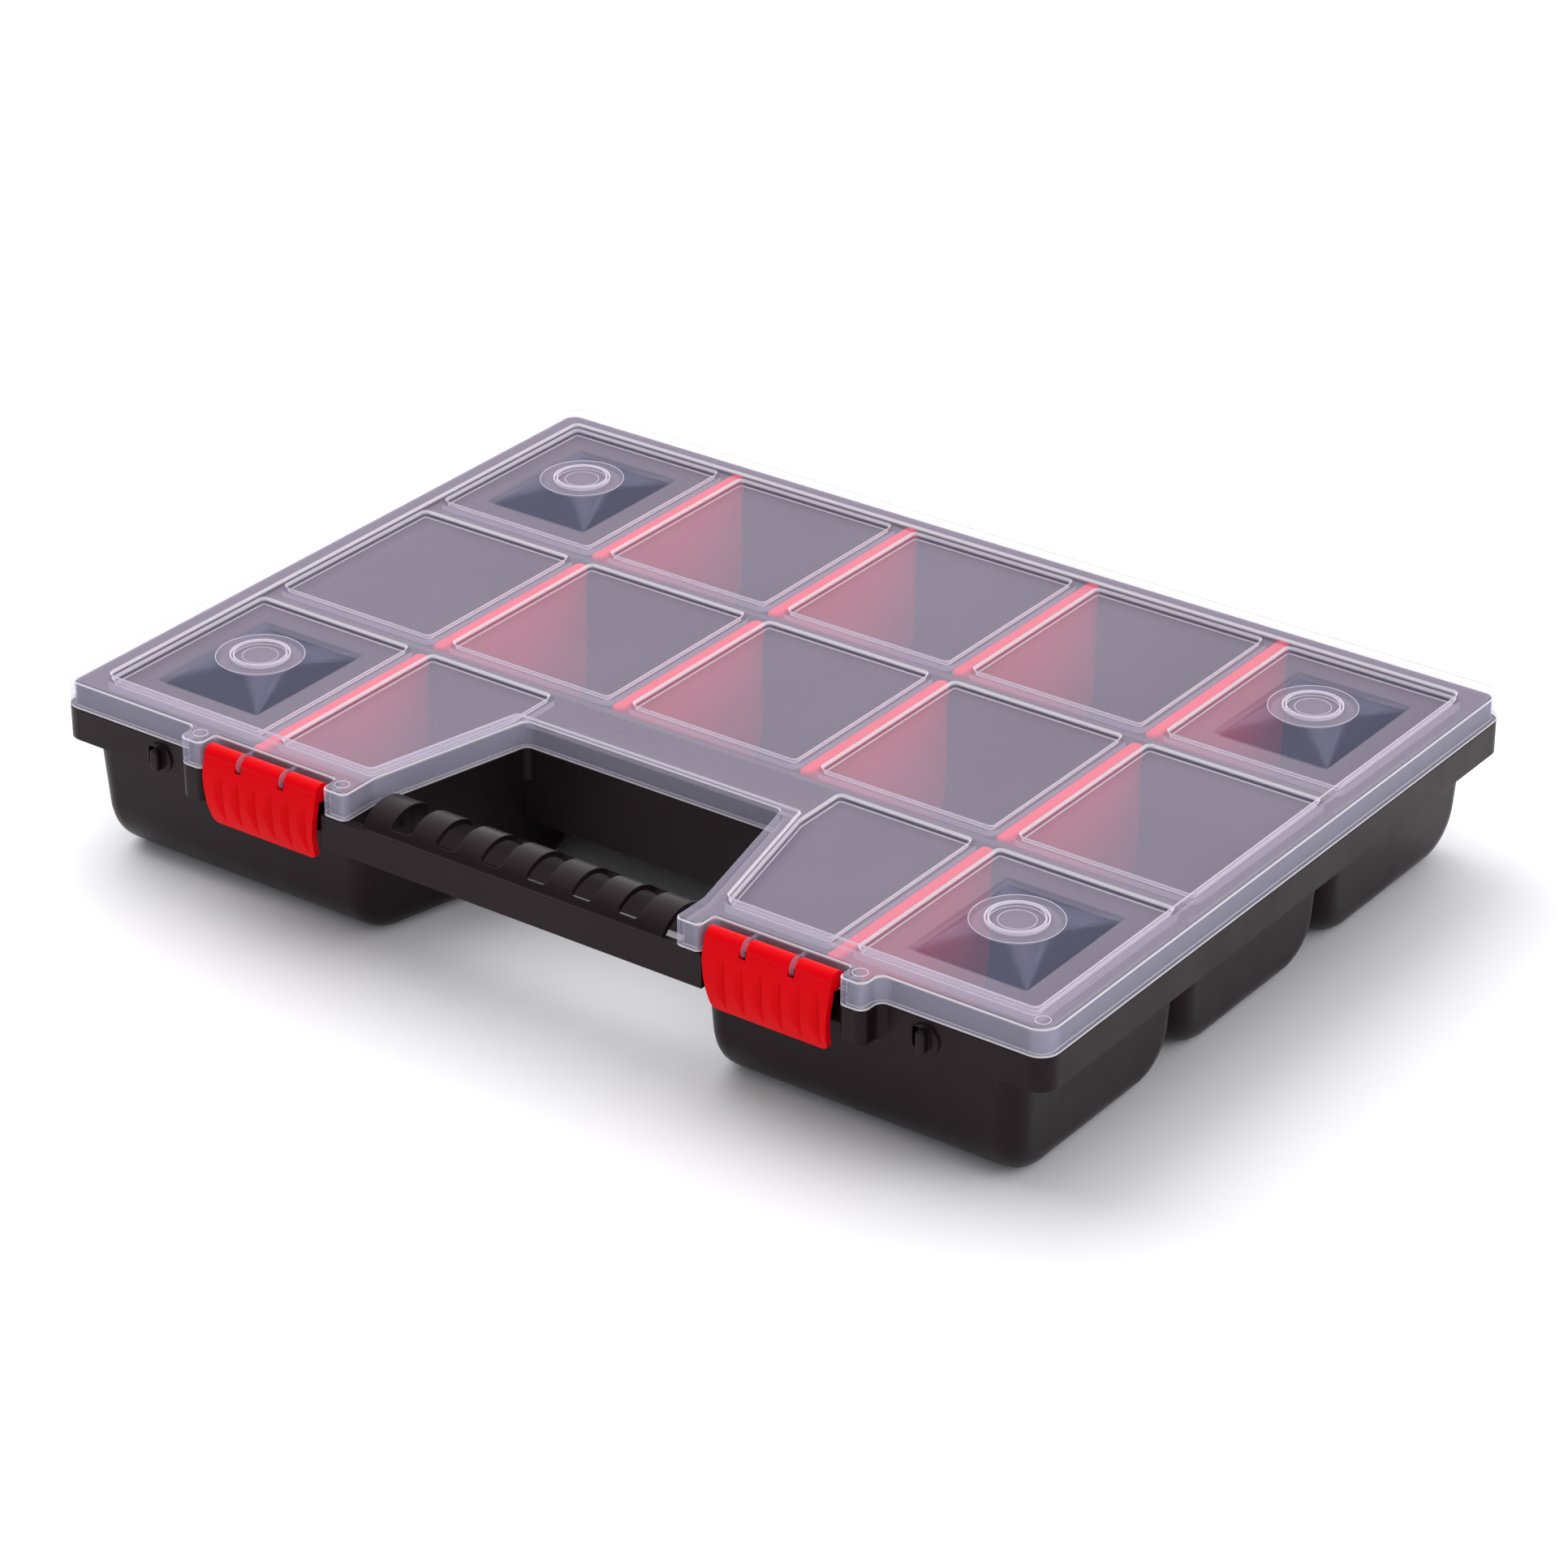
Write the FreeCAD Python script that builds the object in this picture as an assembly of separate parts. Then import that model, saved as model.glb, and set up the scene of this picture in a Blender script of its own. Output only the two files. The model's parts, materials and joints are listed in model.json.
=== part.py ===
import FreeCAD, Part
import math
import os

# A flat parts organizer case: a black tray with a built-in handle, a clear lid on
# rear snap hinges, two latches that pivot on the lid, and ten removable dividers.
# Millimetres. While a sub-part is drawn, X runs along the case with 0 in the middle,
# Y runs back from the front edge of the lid, and Z is up from the surface the case
# stands on. Every sub-part is then moved back by the same amount, so that the origin
# is at the middle of the underside of the whole case.

V = FreeCAD.Vector

# ---- overall sizes ----
LENGTH = 390.0
DEPTH = 272.7
RIM_TOP = 61.5
LID_BOTTOM = 51.6
TRAY_TOP = 51.3
SKIRT_BOTTOM = 39.8
CORNER_R = 6.5

# ---- lid ----
LID_WALL = 1.6
LID_SKIN = 1.4
BORDER_SKIN = 2.2
RIB_TOP = 59.5
PANEL_TOP = 57.5
BORDER = 11.3
BORDER_SLANT = 6.5
BORDER_RECESS = 3.0
RIB_W = 9.2
ROW_RIB_W = 10.2
PANEL_R = 2.2
PANEL_DRAFT = 0.8
LID_EDGE_R = 1.1
EDGE_BREAK = 0.6

# ---- ears beside the latches, and the handle recess between them ----
EAR_OUT = 135.5
EAR_IN = 65.3
BAY_OUT = 126.0
BAY_IN = 75.0
EAR_Y = -8.5
BAY_Y = -1.0
RECESS_BEND_Y = 6.5
RECESS_X = 51.2
RECESS_Y = 66.0
EAR_R = 3.2
EAR_INNER_R = 2.4
EAR_BEND_R = 8.0
BAY_R = 1.6
RECESS_R = 2.6

# ---- columns and rows of compartments ----
COLUMNS = (-114.0, -38.0, 38.0, 114.0)
ROW_WALLS = (93.2, 179.65)
WALL = 1.8
TROUGH_R = 18.0
END_R = 8.0
WALL_INSET = 1.6
WALL_SLOPE = 0.035
END_X = 185.5
END_SLOPE = 0.07
VALLEY_Z = 44.0
SLANT_INSET = 0.5
ROW_WALL_TOP = 57.0
FLANGE = 1.8
APRON_BOTTOM = 24.5
UPSTAND_GAP = 0.5
UPSTAND_T = 1.3
UPSTAND_TOP = 58.9

# ---- corner bosses on the lid ----
BOSS_X = 44.0
BOSS_Y = 55.0
BOSS_D = 30.0
BOSS_TOP = 62.5
BOSS_ROOT = 0.2
RING_D = 20.4
RING_HOLE = 17.2
RING_TOP = 63.2
RING_FLOOR = 62.1

# ---- handle ----
HANDLE_X = 59.5
GRIP_Y = 4.3
GRIP_Z = 43.2
GRIP_R = 14.0
GRIP_FRONT_BOTTOM = 50.1
GRIP_REAR_BOTTOM = 38.0
WINDOW_PITCH = 18.0
WINDOW_W = 8.2
WINDOW_COUNT = 6
WINDOW_FRONT = -5.4
WINDOW_BACK = 14.2
WINDOW_R = 1.6
PLATE_X = 75.5
PLATE_BOTTOM = 39.4
LEDGE_DEPTH = 3.3

# ---- dividers ----
WEB_T = 1.4
WEB_GAP = 0.4
WEB_TOP = 55.8
BEAD_W = 5.2
BEAD_H = 3.6
BEAD_TOP = 57.3
GUIDE_T = 1.0
GUIDE_OUT = 1.5
GUIDE_PLAY = 0.25
GUIDE_BOTTOM = 9.0
GUIDE_TOP = 49.8
BEAD_INSET = 1.6
BEAD_END_R = 2.5
BEAD_EDGE_R = 1.2

# ---- latches ----
LATCH_X = 100.5
LATCH_W = 47.0
LATCH_FOOT_W = 43.0
LATCH_T = 2.4
LATCH_CORNER_R = 2.4
LATCH_BEND_Z = 51.6
LATCH_CUT = 0.1
ROLL_Y = -5.6
ROLL_Z = 57.6
ROLL_R = 3.2
PIN_R = 1.5
SLOT_W = 2.5
SLOT_X = 9.0
SLOT_R = 4.3
HOOK_W = 1.6
HOOK_R = 3.5
HOOK_MOUTH = 2.4
HOOK_TURN = 30
HOOK_ARM_BOTTOM = 57.2
HOOK_ARM_TOP = 60.5
LATCH_BELLY_Y = -10.6
LATCH_BELLY_Z = 47.0
LATCH_FOOT_Y = -7.6
LATCH_FOOT_Z = 33.6
LIP_X = 14.0
LIP_Z = 35.4
LIP_T = 1.8
FIT_GAP = 0.3
RUNNING_GAP = 0.05
FLUTES = 6
FLUTE_TOP = 53.0
FLUTE_BOTTOM = 35.6
FLUTE_DEPTH = 1.8
FLUTE_RAMP = 5.2
FLUTE_STEP = 0.9
FLUTE_SECTIONS = 9
FLUTE_END = 0.08
FLUTE_PEAK = 0.8
FLUTE_OVERRUN = 0.3
FLUTE_KNEE = 0.55
FLUTE_KNEE_DEPTH = 0.28
FLUTE_PLACE = 0.85

# ---- rear hinge ----
HINGE_Y = 277.0
HINGE_Z = 50.0
HINGE_PIN_R = 2.0
HINGE_R = 3.8
LUG_R = 3.6
HINGE_XS = (-118.0, 0.0, 118.0)
KNUCKLE_L = 26.0
LUG_T = 3.0
LUG_GAP = 0.4
KNUCKLE_MOUTH = 2.8
KNUCKLE_ARM_BOTTOM = 51.9

# ---- link pegs on the front ----
PEG_X = 152.0
PEG_Z = 44.6
PEG_SEAT_R = 5.2
PEG_SEAT_T = 0.8
PEG_W = 3.4
PEG_H = 8.2
PEG_OUT = 2.6
PEG_SLOT_W = 2.4
PEG_SLOT_H = 7.4
PEG_TIP_R = 0.8

# ---- joining and cutting ----
ROOT = 1.0
CLEAR = 1.0
FAR = 50.0
TOUCH = 0.01

FRONT_END = LATCH_BELLY_Y
REAR_END = HINGE_Y + HINGE_R
ORIGIN_Y = (FRONT_END + REAR_END) / 2


# ---------------------------------------------------------------- helpers
def box(x0, x1, y0, y1, z0, z1):
    return Part.makeBox(x1 - x0, y1 - y0, z1 - z0, V(x0, y0, z0))


def rod(radius, x0, x1, y, z):
    return Part.makeCylinder(radius, x1 - x0, V(x0, y, z), V(1, 0, 0))


def fuse(shapes):
    return shapes[0].fuse(shapes[1:]) if len(shapes) > 1 else shapes[0]


def mirror_x(shape):
    return shape.mirror(V(0, 0, 0), V(1, 0, 0))


def rounded_wire(corners, z):
    """Closed level wire through corners (x, y, radius), each turned with an arc."""
    count = len(corners)
    pts = [V(c[0], c[1], z) for c in corners]
    starts, mids, ends = [], [], []
    for i in range(count):
        here = pts[i]
        back = (pts[i - 1] - here).normalize()
        ahead = (pts[(i + 1) % count] - here).normalize()
        half = back.getAngle(ahead) / 2
        radius = corners[i][2]
        reach = radius / math.tan(half)
        bisector = (back + ahead).normalize()
        centre = here + bisector * (radius / math.sin(half))
        starts.append(here + back * reach)
        ends.append(here + ahead * reach)
        mids.append(centre - bisector * radius)
    edges = []
    for i in range(count):
        edges.append(Part.Arc(starts[i], mids[i], ends[i]).toShape())
        edges.append(Part.makeLine(ends[i], starts[(i + 1) % count]))
    return Part.Wire(edges)


def offset_corners(corners, distance):
    """The same outline moved outwards by distance, or inwards when it is negative."""
    count = len(corners)
    area = sum(corners[i - 1][0] * corners[i][1] - corners[i][0] * corners[i - 1][1]
               for i in range(count))
    side = 1.0 if area > 0 else -1.0
    moved = []
    for i in range(count):
        x0, y0 = corners[i - 1][:2]
        x1, y1, radius = corners[i]
        x2, y2 = corners[(i + 1) % count][:2]
        ax, ay = x1 - x0, y1 - y0
        bx, by = x2 - x1, y2 - y1
        la, lb = math.hypot(ax, ay), math.hypot(bx, by)
        n1 = V(ay / la * side, -ax / la * side, 0)
        n2 = V(by / lb * side, -bx / lb * side, 0)
        step = (n1 + n2) * (distance / (1 + n1.dot(n2)))
        convex = (ax * by - ay * bx) * side > 0
        new_radius = radius + distance if convex else radius - distance
        moved.append((x1 + step.x, y1 + step.y, max(new_radius, 0.3)))
    return moved


def prism(corners, z0, z1):
    return Part.Face(rounded_wire(corners, z0)).extrude(V(0, 0, z1 - z0))


def tapered(corners, z_low, z_high, inset):
    """A pocket shape: corners is its outline at z_high, and it is smaller at z_low."""
    low = offset_corners(corners, -inset)
    wires = [rounded_wire(low, z_low), rounded_wire(corners, z_high)]
    return Part.makeLoft(wires, True, True)


# ---------------------------------------------------------------- shared outlines
def half_front():
    """Front edge of the lid and tray rim from the middle to the right-hand corner."""
    return [
        (RECESS_X, RECESS_Y, RECESS_R),
        (EAR_IN, RECESS_BEND_Y, EAR_BEND_R),
        (EAR_IN, EAR_Y, EAR_INNER_R),
        (BAY_IN, EAR_Y, EAR_INNER_R),
        (BAY_IN, BAY_Y, BAY_R),
        (BAY_OUT, BAY_Y, BAY_R),
        (BAY_OUT, EAR_Y, EAR_INNER_R),
        (EAR_OUT, EAR_Y, EAR_R),
        (EAR_OUT, 0.0, EAR_R),
        (LENGTH / 2, 0.0, CORNER_R),
        (LENGTH / 2, DEPTH, CORNER_R),
    ]


def mirrored(corners):
    return corners + [(-x, y, r) for x, y, r in reversed(corners)]


def case_outline():
    return mirrored(half_front())


def recess_slant(offset):
    """Unit direction and a point of the slanted recess edge, moved outwards by offset."""
    direction = V(RECESS_X - EAR_IN, RECESS_Y - RECESS_BEND_Y, 0).normalize()
    bend = V(EAR_IN, RECESS_BEND_Y, 0)
    return direction, bend + V(direction.y, -direction.x, 0) * offset


def slant_x(y, offset):
    direction, point = recess_slant(offset)
    return point.x + direction.x / direction.y * (y - point.y)


# ---------------------------------------------------------------- lid
def lid_well():
    """The area of the lid inside its raised border."""
    edge_x = LENGTH / 2 - BORDER
    recess_y = RECESS_Y + BORDER_RECESS
    right = [
        (slant_x(recess_y, BORDER_SLANT), recess_y, PANEL_R),
        (slant_x(BORDER, BORDER_SLANT), BORDER, PANEL_R),
        (edge_x, BORDER, PANEL_R),
        (edge_x, DEPTH - BORDER, PANEL_R),
    ]
    return mirrored(right)


def rectangle(x0, x1, y0, y1, radius):
    return [(x0, y0, radius), (x1, y0, radius), (x1, y1, radius), (x0, y1, radius)]


def panel_spans():
    """X spans of the columns and Y spans of the rows of lid panels."""
    edge_x = LENGTH / 2 - BORDER
    half = RIB_W / 2
    bounds = [-edge_x - half] + list(COLUMNS) + [edge_x + half]
    xs = [(bounds[i] + half, bounds[i + 1] - half) for i in range(5)]
    half = ROW_RIB_W / 2
    bounds = [BORDER - half] + list(ROW_WALLS) + [DEPTH - BORDER + half]
    ys = [(bounds[i] + half, bounds[i + 1] - half) for i in range(3)]
    return xs, ys


def lid_panels():
    xs, ys = panel_spans()
    panels = []
    for row in (1, 2):
        for x0, x1 in xs:
            panels.append(rectangle(x0, x1, *ys[row], PANEL_R))
    y0, y1 = ys[0]
    for x0, x1 in (xs[0], xs[4]):
        panels.append(rectangle(x0, x1, y0, y1, PANEL_R))
    bend_x = slant_x(RECESS_Y, BORDER_SLANT)
    right = [
        (slant_x(y0, BORDER_SLANT), y0, PANEL_R),
        (xs[3][1], y0, PANEL_R),
        (xs[3][1], y1, PANEL_R),
        (bend_x, y1, PANEL_R),
        (bend_x, RECESS_Y, 2 * PANEL_R),
    ]
    panels.append(right)
    panels.append([(-x, y, r) for x, y, r in reversed(right)])
    return panels


def boss_hull(size_x, size_y, diameter, z0, z1, x, y):
    """Rectangle below, circle above: four flat faces and four corner cones between."""
    radius = diameter / 2
    a, b = size_x / 2, size_y / 2
    low = [V(a, b, z0), V(-a, b, z0), V(-a, -b, z0), V(a, -b, z0)]
    rim = [V(radius, 0, z1), V(0, radius, z1), V(-radius, 0, z1), V(0, -radius, z1)]
    arcs = []
    for i in range(4):
        turn = math.radians(45 + 90 * i)
        mid = V(radius * math.cos(turn), radius * math.sin(turn), z1)
        arcs.append(Part.Arc(rim[i], mid, rim[(i + 1) % 4]).toShape())
    faces = [Part.Face(Part.Wire(arcs)), Part.Face(Part.makePolygon(low + [low[0]]))]
    for i in range(4):
        nxt = (i + 1) % 4
        faces.append(Part.Face(Part.makePolygon([low[i], low[nxt], rim[nxt], low[i]])))
        cone = Part.makeLoft([Part.Vertex(low[i]), Part.Wire([arcs[i]])], False, True)
        faces.extend(cone.Faces)
    shell = Part.makeShell(faces)
    shell.sewShape()
    solid = Part.makeSolid(shell)
    if solid.Volume < 0:
        solid.reverse()
    solid.translate(V(x, y, 0))
    return solid


def boss_centres():
    xs, ys = panel_spans()
    cx = (xs[4][0] + xs[4][1]) / 2
    centres = []
    for row in (0, 2):
        cy = (ys[row][0] + ys[row][1]) / 2
        centres += [(-cx, cy), (cx, cy)]
    return centres


def add_bosses(lid):
    ring_height = RING_TOP - RING_FLOOR
    inner = 2 * LID_SKIN
    base = PANEL_TOP - BOSS_ROOT
    for x, y in boss_centres():
        seat = V(x, y, RING_FLOOR)
        lid = lid.fuse(boss_hull(BOSS_X, BOSS_Y, BOSS_D, base, BOSS_TOP, x, y))
        lid = lid.fuse(Part.makeCylinder(RING_D / 2, ring_height, seat))
        lid = lid.cut(Part.makeCylinder(RING_HOLE / 2, ring_height + CLEAR, seat))
        hollow = boss_hull(BOSS_X - inner, BOSS_Y - inner, BOSS_D - inner,
                           base - LID_SKIN, BOSS_TOP - LID_SKIN, x, y)
        lid = lid.cut(hollow)
    return lid


def latch_hook(x):
    """A small open ring that holds the latch pin, with its arm to the lid wall."""
    x0, x1 = x - HOOK_W / 2, x + HOOK_W / 2
    ring = rod(HOOK_R, x0, x1, ROLL_Y, ROLL_Z)
    arm = box(x0, x1, ROLL_Y, BAY_Y + LID_WALL, HOOK_ARM_BOTTOM, HOOK_ARM_TOP)
    hook = ring.fuse(arm)
    hook = hook.cut(rod(PIN_R + RUNNING_GAP, x0 - CLEAR, x1 + CLEAR, ROLL_Y, ROLL_Z))
    half = HOOK_MOUTH / 2
    mouth = box(x0 - CLEAR, x1 + CLEAR, -half, half, -HOOK_R - CLEAR, 0)
    mouth.rotate(V(x, 0, 0), V(1, 0, 0), HOOK_TURN)
    mouth.translate(V(0, ROLL_Y, ROLL_Z))
    return hook.cut(mouth)


def lid_knuckle(x):
    """A snap knuckle behind the lid, open below so that it presses over its pin."""
    x0, x1 = x - KNUCKLE_L / 2, x + KNUCKLE_L / 2
    arm = box(x0, x1, DEPTH - LID_WALL, HINGE_Y, KNUCKLE_ARM_BOTTOM, HINGE_Z + HINGE_R)
    knuckle = arm.fuse(rod(HINGE_R, x0, x1, HINGE_Y, HINGE_Z))
    x0, x1 = x0 - CLEAR, x1 + CLEAR
    knuckle = knuckle.cut(rod(HINGE_PIN_R + RUNNING_GAP, x0, x1, HINGE_Y, HINGE_Z))
    half = KNUCKLE_MOUTH / 2
    mouth = box(x0, x1, HINGE_Y - half, HINGE_Y + half, HINGE_Z - HINGE_R - CLEAR, HINGE_Z)
    return knuckle.cut(mouth)


def broken_pocket(outline, z_low, z_high, draft):
    """A pocket with drafted sides whose upper edge is broken by a narrow slant."""
    pocket = tapered(outline, z_low, z_high + TOUCH, draft)
    wide = offset_corners(outline, EDGE_BREAK)
    return pocket.fuse(tapered(wide, z_high - EDGE_BREAK, z_high + TOUCH, EDGE_BREAK))


def make_lid():
    outline = case_outline()
    lid = prism(outline, LID_BOTTOM, RIM_TOP)
    top_edges = [e for e in lid.Edges if e.BoundBox.ZMin > RIM_TOP - TOUCH]
    lid = lid.makeFillet(LID_EDGE_R, top_edges)
    inside = offset_corners(outline, -LID_WALL)
    cavity = prism(inside, LID_BOTTOM - CLEAR, RIM_TOP - BORDER_SKIN)
    well = lid_well()
    cavity = cavity.cut(prism(offset_corners(well, LID_SKIN), RIB_TOP - LID_SKIN, RIM_TOP))
    lid = lid.cut(broken_pocket(well, RIB_TOP, RIM_TOP, PANEL_DRAFT / 2))
    for panel in lid_panels():
        around = offset_corners(panel, LID_SKIN)
        cavity = cavity.cut(prism(around, PANEL_TOP - LID_SKIN, RIM_TOP))
        mouth = offset_corners(panel, -PANEL_DRAFT / 2)
        lid = lid.cut(broken_pocket(mouth, PANEL_TOP, RIB_TOP, PANEL_DRAFT))
    lid = lid.cut(cavity)
    lid = add_bosses(lid)
    extras = []
    for side in (-1, 1):
        for offset in (-SLOT_X, SLOT_X):
            extras.append(latch_hook(side * LATCH_X + offset))
    extras += [lid_knuckle(x) for x in HINGE_XS]
    return lid.fuse(extras).removeSplitter()


# ---------------------------------------------------------------- tray
def row_columns(row):
    """Columns that have a divider in this row: the handle takes the middle of row 0."""
    return [x for x in COLUMNS if row > 0 or abs(x) > EAR_IN]


def row_limits(row, z):
    """Outer faces of a row of compartments at height z, front and back."""
    if row == 0:
        front = WALL_INSET + WALL_SLOPE * (TRAY_TOP - z)
    else:
        front = ROW_WALLS[row - 1] + WALL_SLOPE * (VALLEY_Z - z)
    if row == 2:
        back = DEPTH - WALL_INSET - WALL_SLOPE * (TRAY_TOP - z)
    else:
        back = ROW_WALLS[row] - WALL_SLOPE * (VALLEY_Z - z)
    return front, back


def row_profile(row, inset, top, x0, x1):
    """A row's trough section, moved inwards by inset, drawn out along X."""
    low = inset
    y0, y1 = row_limits(row, low)
    f0, b0 = y0 + inset, y1 - inset
    y0, y1 = row_limits(row, top)
    f1, b1 = y0 + inset, y1 - inset
    radius = TROUGH_R - inset
    corners = [(f1, top, 0), (f0, low, radius), (b0, low, radius), (b1, top, 0)]
    edges = []
    last = None
    for i, (y, z, r) in enumerate(corners):
        here = V(x0, y, z)
        if r == 0:
            arrive = leave = here
        else:
            back = (V(x0, *corners[i - 1][:2]) - here).normalize()
            ahead = (V(x0, *corners[i + 1][:2]) - here).normalize()
            half = back.getAngle(ahead) / 2
            arrive = here + back * (r / math.tan(half))
            leave = here + ahead * (r / math.tan(half))
            bisector = (back + ahead).normalize()
            mid = here + bisector * (r / math.sin(half) - r)
        if last is not None:
            edges.append(Part.makeLine(last, arrive))
        if r:
            edges.append(Part.Arc(arrive, mid, leave).toShape())
        last = leave
    edges.append(Part.makeLine(last, V(x0, f1, top)))
    return Part.Face(Part.Wire(edges)).extrude(V(x1 - x0, 0, 0))


def end_limits(kind, z, inset):
    """Plan corners at height z of the space that an end-to-end trough may fill."""
    end_x = END_X - END_SLOPE * (TRAY_TOP - z) - inset
    near, far = -FAR, DEPTH + FAR
    if kind == "full":
        return [(-end_x, near), (end_x, near), (end_x, far), (-end_x, far)]
    slant = SLANT_INSET + END_SLOPE * (TRAY_TOP - z) + inset
    return [(slant_x(near, slant), near), (end_x, near), (end_x, far), (slant_x(far, slant), far)]


def end_block(kind, inset, z0, z1):
    wires = []
    for z in (z0, z1):
        pts = [V(x, y, z) for x, y in end_limits(kind, z, inset)]
        wires.append(Part.makePolygon(pts + [pts[0]]))
    return Part.makeLoft(wires, True, True)


def trough(row, kind, inset, top):
    """Solid outer form (inset 0) or the space inside (inset WALL) of one trough."""
    body = row_profile(row, inset, top, -LENGTH, LENGTH)
    body = body.common(end_block(kind, inset, -CLEAR, top + CLEAR)).Solids[0]
    end_edges = []
    for edge in body.Edges:
        flat_top = edge.BoundBox.ZMin > top - TOUCH
        along_x = abs(edge.tangentAt(edge.FirstParameter).x) > 1 - TOUCH
        if not flat_top and not along_x:
            end_edges.append(edge)
    return body.makeFillet(END_R - inset, end_edges)


def guide_ribs(row, outer):
    """Pairs of upright ribs inside one trough that hold the ends of its dividers."""
    ribs = []
    offset = WEB_T / 2 + GUIDE_PLAY
    front, back = row_limits(row, TRAY_TOP)
    front_end = (front, front + WALL + GUIDE_OUT)
    back_end = (back - WALL - GUIDE_OUT, back)
    for column in row_columns(row):
        for side in (-1, 1):
            x0 = column + side * offset - (GUIDE_T if side < 0 else 0)
            for y0, y1 in (front_end, back_end):
                ribs.append(box(x0, x0 + GUIDE_T, y0, y1, GUIDE_BOTTOM, GUIDE_TOP))
    return [rib.common(outer) for rib in ribs]


def handle():
    """Front plate, curved grip with windows, and the ledge between them."""
    plate = box(-PLATE_X, PLATE_X, EAR_Y, EAR_Y + WALL, PLATE_BOTTOM, TRAY_TOP)
    back, top = GRIP_Y + GRIP_R, GRIP_Z + GRIP_R
    tube = rod(GRIP_R, -HANDLE_X, HANDLE_X, GRIP_Y, GRIP_Z)
    tube = tube.cut(rod(GRIP_R - WALL, -HANDLE_X, HANDLE_X, GRIP_Y, GRIP_Z))
    front_part = box(-HANDLE_X, HANDLE_X, EAR_Y, GRIP_Y, GRIP_FRONT_BOTTOM, top)
    rear_part = box(-HANDLE_X, HANDLE_X, GRIP_Y, back, GRIP_Z, top)
    rear_wall = box(-HANDLE_X, HANDLE_X, back - WALL, back, GRIP_REAR_BOTTOM, GRIP_Z)
    grip = tube.common(front_part.fuse(rear_part)).fuse(rear_wall)
    for i in range(WINDOW_COUNT):
        x = (i - (WINDOW_COUNT - 1) / 2) * WINDOW_PITCH
        window = rectangle(x - WINDOW_W / 2, x + WINDOW_W / 2, WINDOW_FRONT, WINDOW_BACK, WINDOW_R)
        grip = grip.cut(prism(window, GRIP_Z, top))
    ledge = box(-EAR_IN, EAR_IN, EAR_Y, EAR_Y + LEDGE_DEPTH, TRAY_TOP - FLANGE, TRAY_TOP)
    return [plate, grip, ledge]


def hinge_mount(x):
    """Two lugs behind the tray rim and the pin between them."""
    inner = KNUCKLE_L / 2 + LUG_GAP
    parts = [rod(HINGE_PIN_R, x - inner - ROOT, x + inner + ROOT, HINGE_Y, HINGE_Z)]
    for x0 in (x - inner - LUG_T, x + inner):
        lug = rod(LUG_R, x0, x0 + LUG_T, HINGE_Y, HINGE_Z)
        web = box(x0, x0 + LUG_T, DEPTH - WALL, HINGE_Y, HINGE_Z - LUG_R, TRAY_TOP)
        parts.append(lug.fuse(web))
    return parts


def link_peg(x):
    """A capsule-shaped peg on a round seat on the front of the rim."""
    front = V(0, -1, 0)
    reach = PEG_SEAT_T + PEG_OUT
    seat = Part.makeCylinder(PEG_SEAT_R, ROOT + PEG_SEAT_T, V(x, ROOT, PEG_Z), front)
    half, rise = PEG_W / 2, (PEG_H - PEG_W) / 2
    peg = box(x - half, x + half, -reach, ROOT, PEG_Z - rise, PEG_Z + rise)
    caps = [Part.makeCylinder(half, ROOT + reach, V(x, ROOT, PEG_Z + z), front) for z in (-rise, rise)]
    peg = peg.fuse(caps).removeSplitter()
    tip = [e for e in peg.Edges if e.BoundBox.YMax < -reach + TOUCH]
    return seat.fuse(peg.makeFillet(PEG_TIP_R, tip))


def peg_slot(x):
    """The slot beside the peg, cut through its seat and into the rim."""
    x1 = x - PEG_W / 2
    half = PEG_SLOT_H / 2
    return box(x1 - PEG_SLOT_W, x1, -PEG_SEAT_T - CLEAR, WALL, PEG_Z - half, PEG_Z + half)


def upstand():
    """The tray's wall inside the lid's skirt, lower where the lid's well comes over it."""
    outline = case_outline()
    outer = LID_WALL + UPSTAND_GAP
    ring = prism(offset_corners(outline, -outer), TRAY_TOP - FLANGE, UPSTAND_TOP)
    space = offset_corners(outline, -outer - UPSTAND_T)
    ring = ring.cut(prism(space, TRAY_TOP - FLANGE - CLEAR, UPSTAND_TOP + CLEAR))
    under_well = offset_corners(lid_well(), LID_SKIN + UPSTAND_GAP)
    low_top = RIB_TOP - LID_SKIN - UPSTAND_GAP
    return ring.cut(prism(under_well, low_top, UPSTAND_TOP + CLEAR))


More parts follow.
